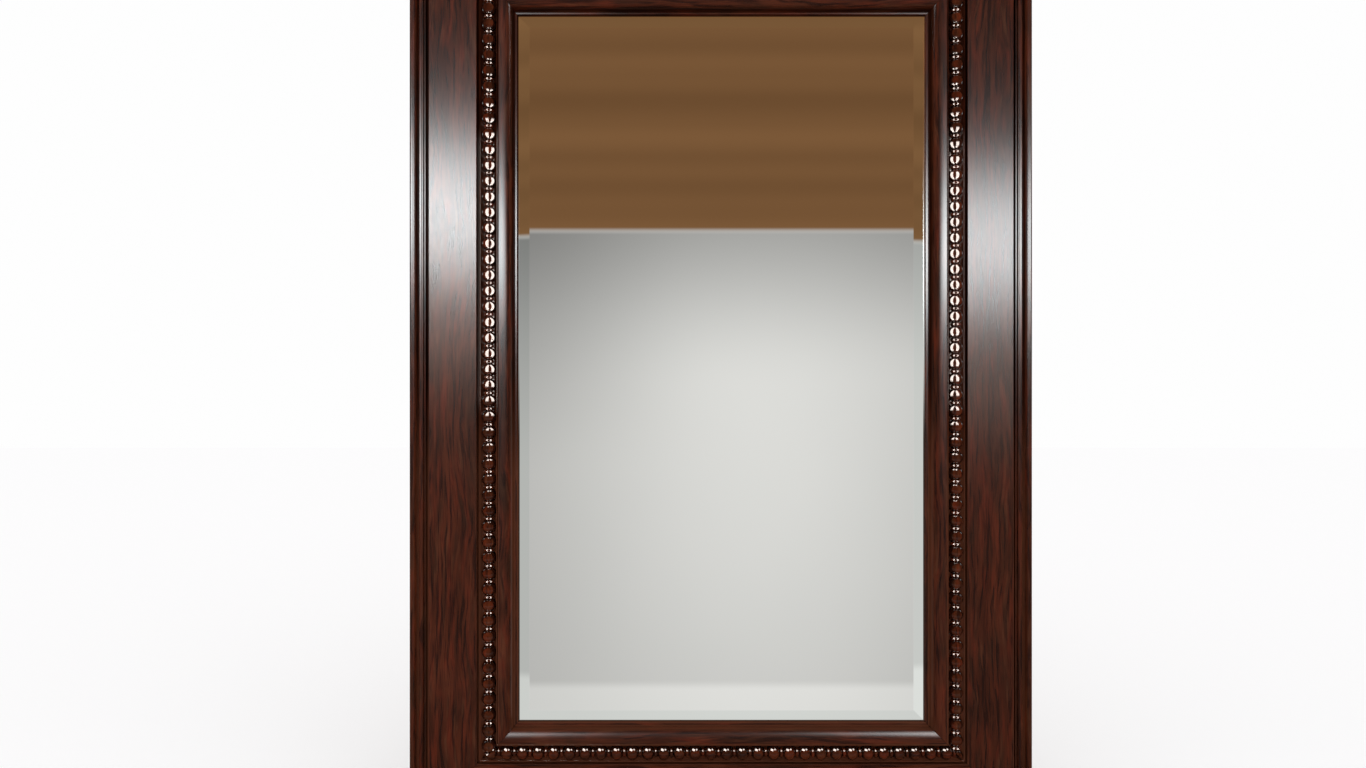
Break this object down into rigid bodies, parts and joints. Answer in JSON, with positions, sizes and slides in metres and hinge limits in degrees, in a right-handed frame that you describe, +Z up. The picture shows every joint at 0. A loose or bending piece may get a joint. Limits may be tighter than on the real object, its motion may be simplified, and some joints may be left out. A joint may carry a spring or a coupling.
{
  "type": "wall mirror",
  "caption": "Portrait wall mirror with a wide mitred wooden frame, a carved bead course, a bevelled glass and folding rings on the back to hang it by.",
  "frame": {"origin": "centre of the back face, on the plane of the wall", "axes": "+Y into the wall, so the glass faces -Y; +Z up; +X to the right as seen from the front"},
  "size_m": [0.735, 0.0419, 1.085],
  "materials": {
    "frame_wood": "dark mahogany stain under a gloss lacquer",
    "mirror_glass": "silvered glass with a polished bevel",
    "backing_card": "plain brown card",
    "plain_wood": "unfinished softwood",
    "back_board": "brown fibreboard",
    "plated_steel": "bright zinc plate",
    "ring_steel": "nickel plate"
  },
  "bodies": {
    "frame": {"left_stile": "frame_wood", "right_stile": "frame_wood", "top_rail": "frame_wood", "bottom_rail": "frame_wood", "left_edge_band": "frame_wood", "right_edge_band": "frame_wood", "top_edge_band": "frame_wood", "bottom_edge_band": "frame_wood", "left_bead_strip": "frame_wood", "right_bead_strip": "frame_wood", "top_bead_strip": "frame_wood", "bottom_bead_strip": "frame_wood", "left_sight_moulding": "frame_wood", "right_sight_moulding": "frame_wood", "top_sight_moulding": "frame_wood", "bottom_sight_moulding": "frame_wood", "mirror_glass": "mirror_glass", "backing_sheet": "backing_card", "left_glass_stop": "plain_wood", "right_glass_stop": "plain_wood", "top_glass_stop": "plain_wood", "bottom_glass_stop": "plain_wood", "back_panel": "back_board", "back_panel_screws": "plated_steel", "top_left_corner_plate": "plated_steel", "top_right_corner_plate": "plated_steel", "bottom_left_corner_plate": "plated_steel", "bottom_right_corner_plate": "plated_steel", "corner_plate_screws": "plated_steel", "left_hanger_strap": "plated_steel", "right_hanger_strap": "plated_steel", "hanger_screws": "plated_steel"},
    "left_ring": {"left_hanger_ring": "ring_steel"},
    "right_ring": {"right_hanger_ring": "ring_steel"}
  },
  "joints": [
    {"name": "left_ring_swing", "type": "hinge", "parent": "frame", "child": "left_ring", "pos_m": [-0.3015, -0.00695, 0.2925], "axis": [-1, 0, 0], "range_deg": [0, 176]},
    {"name": "right_ring_swing", "type": "hinge", "parent": "frame", "child": "right_ring", "pos_m": [0.3015, -0.00695, 0.2925], "axis": [-1, 0, 0], "range_deg": [0, 176]}
  ]
}
